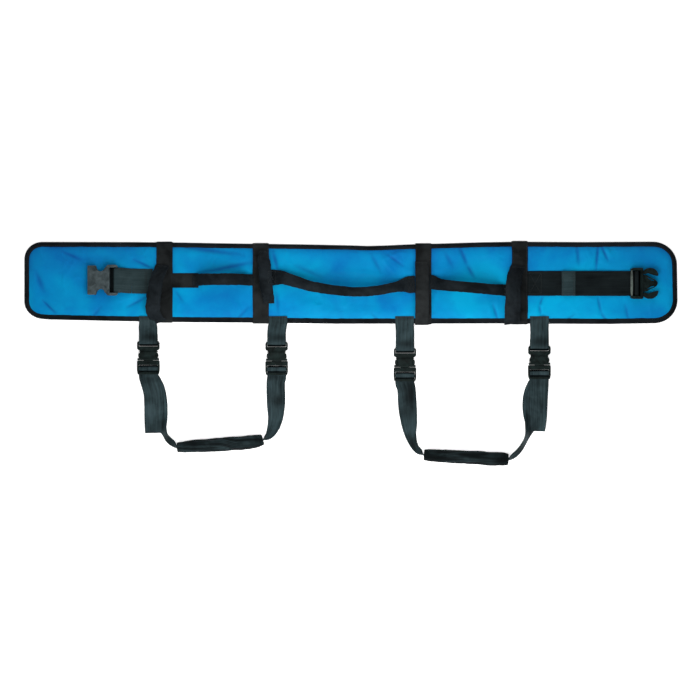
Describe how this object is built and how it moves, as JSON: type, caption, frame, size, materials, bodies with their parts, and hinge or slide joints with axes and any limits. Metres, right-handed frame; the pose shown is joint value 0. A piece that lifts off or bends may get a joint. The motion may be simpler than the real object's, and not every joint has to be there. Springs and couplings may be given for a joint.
{
  "type": "patient transfer belt",
  "caption": "Padded patient transfer belt laid flat, with webbing hand grips, a waist side-release buckle and two padded leg loops on quick-release buckles.",
  "frame": {"origin": "centre of the flat back of the padded panel, which lies on the z = 0 plane", "axes": "+X along the belt towards the male waist buckle, +Y towards the panel's upper edge (the leg loops hang from the lower edge), +Z out of the face with the grips"},
  "size_m": [1.3, 0.4471, 0.0435],
  "materials": {
    "cover_fabric": "coated nylon with a soft sheen",
    "backing_fabric": "matte woven backing",
    "foam": "closed-cell foam sheet",
    "binding_tape": "ribbed binding tape",
    "webbing": "ribbed polyester webbing",
    "grip_fabric": "padded woven fabric",
    "buckle_plastic": "moulded acetal, satin"
  },
  "bodies": {
    "panel": {"front_cover_middle": "cover_fabric", "foam_core_middle": "foam", "back_cover_middle": "backing_fabric", "binding_middle_top": "binding_tape", "binding_middle_bottom": "binding_tape", "band_1": "webbing", "band_2": "webbing", "band_3": "webbing", "band_4": "webbing", "waist_stub_left": "webbing", "waist_stub_right": "webbing", "leg_tab_1": "webbing", "leg_tab_2": "webbing", "leg_tab_3": "webbing", "leg_tab_4": "webbing"},
    "flap_left": {"front_cover_left": "cover_fabric", "foam_core_left": "foam", "back_cover_left": "backing_fabric", "binding_left": "binding_tape"},
    "flap_right": {"front_cover_right": "cover_fabric", "foam_core_right": "foam", "back_cover_right": "backing_fabric", "binding_right": "binding_tape"},
    "waist_end_left": {"waist_strap_left": "webbing", "waist_buckle_female": "buckle_plastic"},
    "waist_end_right": {"waist_strap_right": "webbing", "waist_buckle_male": "buckle_plastic"},
    "leg_fold_left": {"leg_hanger_1": "webbing", "leg_hanger_2": "webbing", "leg_buckle_female_1": "buckle_plastic", "leg_buckle_female_2": "buckle_plastic"},
    "leg_fold_right": {"leg_hanger_3": "webbing", "leg_hanger_4": "webbing", "leg_buckle_female_3": "buckle_plastic", "leg_buckle_female_4": "buckle_plastic"},
    "leg_loop_left": {"leg_strap_left": "webbing", "leg_sleeve_left": "grip_fabric", "leg_buckle_male_1": "buckle_plastic", "leg_buckle_male_2": "buckle_plastic"},
    "leg_loop_right": {"leg_strap_right": "webbing", "leg_sleeve_right": "grip_fabric", "leg_buckle_male_3": "buckle_plastic", "leg_buckle_male_4": "buckle_plastic"},
    "grip_h1_body": {"grip_h1": "grip_fabric"},
    "grip_h2_body": {"grip_h2": "grip_fabric"},
    "grip_h3_body": {"grip_h3": "grip_fabric"},
    "grip_v1_body": {"grip_v1": "grip_fabric"},
    "grip_v2_body": {"grip_v2": "grip_fabric"},
    "grip_v3_body": {"grip_v3": "grip_fabric"},
    "grip_v4_body": {"grip_v4": "grip_fabric"},
    "waist_prong_upper_body": {"waist_prong_upper": "buckle_plastic"},
    "waist_prong_lower_body": {"waist_prong_lower": "buckle_plastic"},
    "leg_prong_1a_body": {"leg_prong_1a": "buckle_plastic"},
    "leg_prong_1b_body": {"leg_prong_1b": "buckle_plastic"},
    "leg_prong_2a_body": {"leg_prong_2a": "buckle_plastic"},
    "leg_prong_2b_body": {"leg_prong_2b": "buckle_plastic"},
    "leg_prong_3a_body": {"leg_prong_3a": "buckle_plastic"},
    "leg_prong_3b_body": {"leg_prong_3b": "buckle_plastic"},
    "leg_prong_4a_body": {"leg_prong_4a": "buckle_plastic"},
    "leg_prong_4b_body": {"leg_prong_4b": "buckle_plastic"}
  },
  "joints": [
    {"name": "flap_left_fold", "type": "hinge", "parent": "panel", "child": "flap_left", "pos_m": [-0.428, 0, 0.0084], "axis": [0, 1, 0], "range_deg": [0, 90]},
    {"name": "flap_right_fold", "type": "hinge", "parent": "panel", "child": "flap_right", "pos_m": [0.4, 0, 0.0084], "axis": [0, -1, 0], "range_deg": [0, 90]},
    {"name": "waist_end_left_lift", "type": "hinge", "parent": "flap_left", "child": "waist_end_left", "pos_m": [-0.43, 0, 0.0092], "axis": [0, 1, 0], "range_deg": [0, 20]},
    {"name": "waist_end_right_lift", "type": "hinge", "parent": "flap_right", "child": "waist_end_right", "pos_m": [0.402, 0, 0.0092], "axis": [0, -1, 0], "range_deg": [0, 30]},
    {"name": "leg_left_fold", "type": "hinge", "parent": "panel", "child": "leg_fold_left", "pos_m": [-0.277, -0.0815, 0.0066], "axis": [-1, 0, 0], "range_deg": [0, 90]},
    {"name": "leg_right_fold", "type": "hinge", "parent": "panel", "child": "leg_fold_right", "pos_m": [0.242, -0.0815, 0.0066], "axis": [1, 0, 0], "range_deg": [-90, 0]},
    {"name": "leg_left_release", "type": "slide", "parent": "leg_fold_left", "child": "leg_loop_left", "axis": [0, -1, 0], "range_m": [0, 0.04]},
    {"name": "leg_right_release", "type": "slide", "parent": "leg_fold_right", "child": "leg_loop_right", "axis": [0, -1, 0], "range_m": [0, 0.04]},
    {"name": "grip_h1_swing", "type": "hinge", "parent": "panel", "child": "grip_h1_body", "pos_m": [-0.257, 0.003, 0.012], "axis": [1, 0, 0], "range_deg": [-35, 35], "stiffness_Nm_per_rad": 0.1},
    {"name": "grip_h2_swing", "type": "hinge", "parent": "panel", "child": "grip_h2_body", "pos_m": [-0.02, 0.001, 0.012], "axis": [-0.9984, 0.0559, 0], "range_deg": [-10, 45], "stiffness_Nm_per_rad": 0.2},
    {"name": "grip_h3_swing", "type": "hinge", "parent": "panel", "child": "grip_h3_body", "pos_m": [0.238, -0.008, 0.012], "axis": [-1, 0, 0], "range_deg": [-12, 24], "stiffness_Nm_per_rad": 0.1},
    {"name": "grip_v1_swing", "type": "hinge", "parent": "panel", "child": "grip_v1_body", "pos_m": [-0.384, -0.02, 0.012], "axis": [0, 1, 0], "range_deg": [-9, 35], "stiffness_Nm_per_rad": 0.1},
    {"name": "grip_v2_swing", "type": "hinge", "parent": "panel", "child": "grip_v2_body", "pos_m": [-0.173, 0.009, 0.012], "axis": [0, 1, 0], "range_deg": [-16, 14], "stiffness_Nm_per_rad": 0.1},
    {"name": "grip_v3_swing", "type": "hinge", "parent": "panel", "child": "grip_v3_body", "pos_m": [0.141, -0.02, 0.012], "axis": [0, 1, 0], "range_deg": [-22, 20], "stiffness_Nm_per_rad": 0.1},
    {"name": "grip_v4_swing", "type": "hinge", "parent": "panel", "child": "grip_v4_body", "pos_m": [0.326, -0.02, 0.012], "axis": [0, 1, 0], "range_deg": [-12, 18], "stiffness_Nm_per_rad": 0.1},
    {"name": "waist_prong_upper_squeeze", "type": "hinge", "parent": "waist_end_right", "child": "waist_prong_upper_body", "pos_m": [0.5859, 0.0191, 0.0145], "axis": [0, 0, -1], "range_deg": [0, 8], "stiffness_Nm_per_rad": 0.3},
    {"name": "waist_prong_lower_squeeze", "type": "hinge", "parent": "waist_end_right", "child": "waist_prong_lower_body", "pos_m": [0.5859, -0.0271, 0.0145], "axis": [0, 0, 1], "range_deg": [0, 8], "stiffness_Nm_per_rad": 0.3},
    {"name": "leg_prong_1a_squeeze", "type": "hinge", "parent": "leg_loop_left", "child": "leg_prong_1a_body", "pos_m": [-0.3927, -0.1556, 0.0055], "axis": [0, 0, 1], "range_deg": [0, 8], "stiffness_Nm_per_rad": 0.3},
    {"name": "leg_prong_1b_squeeze", "type": "hinge", "parent": "leg_loop_left", "child": "leg_prong_1b_body", "pos_m": [-0.4185, -0.1556, 0.0055], "axis": [0, 0, -1], "range_deg": [0, 8], "stiffness_Nm_per_rad": 0.3},
    {"name": "leg_prong_2a_squeeze", "type": "hinge", "parent": "leg_loop_left", "child": "leg_prong_2a_body", "pos_m": [-0.1359, -0.1568, 0.0055], "axis": [0, 0, 1], "range_deg": [0, 8], "stiffness_Nm_per_rad": 0.3},
    {"name": "leg_prong_2b_squeeze", "type": "hinge", "parent": "leg_loop_left", "child": "leg_prong_2b_body", "pos_m": [-0.1617, -0.1568, 0.0055], "axis": [0, 0, -1], "range_deg": [0, 8], "stiffness_Nm_per_rad": 0.3},
    {"name": "leg_prong_3a_squeeze", "type": "hinge", "parent": "leg_loop_right", "child": "leg_prong_3a_body", "pos_m": [0.1209, -0.1694, 0.0055], "axis": [0, 0, 1], "range_deg": [0, 8], "stiffness_Nm_per_rad": 0.3},
    {"name": "leg_prong_3b_squeeze", "type": "hinge", "parent": "leg_loop_right", "child": "leg_prong_3b_body", "pos_m": [0.0951, -0.1694, 0.0055], "axis": [0, 0, -1], "range_deg": [0, 8], "stiffness_Nm_per_rad": 0.3},
    {"name": "leg_prong_4a_squeeze", "type": "hinge", "parent": "leg_loop_right", "child": "leg_prong_4a_body", "pos_m": [0.3899, -0.1648, 0.0055], "axis": [0, 0, 1], "range_deg": [0, 8], "stiffness_Nm_per_rad": 0.3},
    {"name": "leg_prong_4b_squeeze", "type": "hinge", "parent": "leg_loop_right", "child": "leg_prong_4b_body", "pos_m": [0.3641, -0.1648, 0.0055], "axis": [0, 0, -1], "range_deg": [0, 8], "stiffness_Nm_per_rad": 0.3}
  ],
  "couplings": [
    {"joint": "waist_prong_lower_squeeze", "follows": "waist_prong_upper_squeeze", "ratio": 1},
    {"joint": "leg_prong_1b_squeeze", "follows": "leg_prong_1a_squeeze", "ratio": 1},
    {"joint": "leg_prong_2b_squeeze", "follows": "leg_prong_2a_squeeze", "ratio": 1},
    {"joint": "leg_prong_3b_squeeze", "follows": "leg_prong_3a_squeeze", "ratio": 1},
    {"joint": "leg_prong_4b_squeeze", "follows": "leg_prong_4a_squeeze", "ratio": 1}
  ]
}
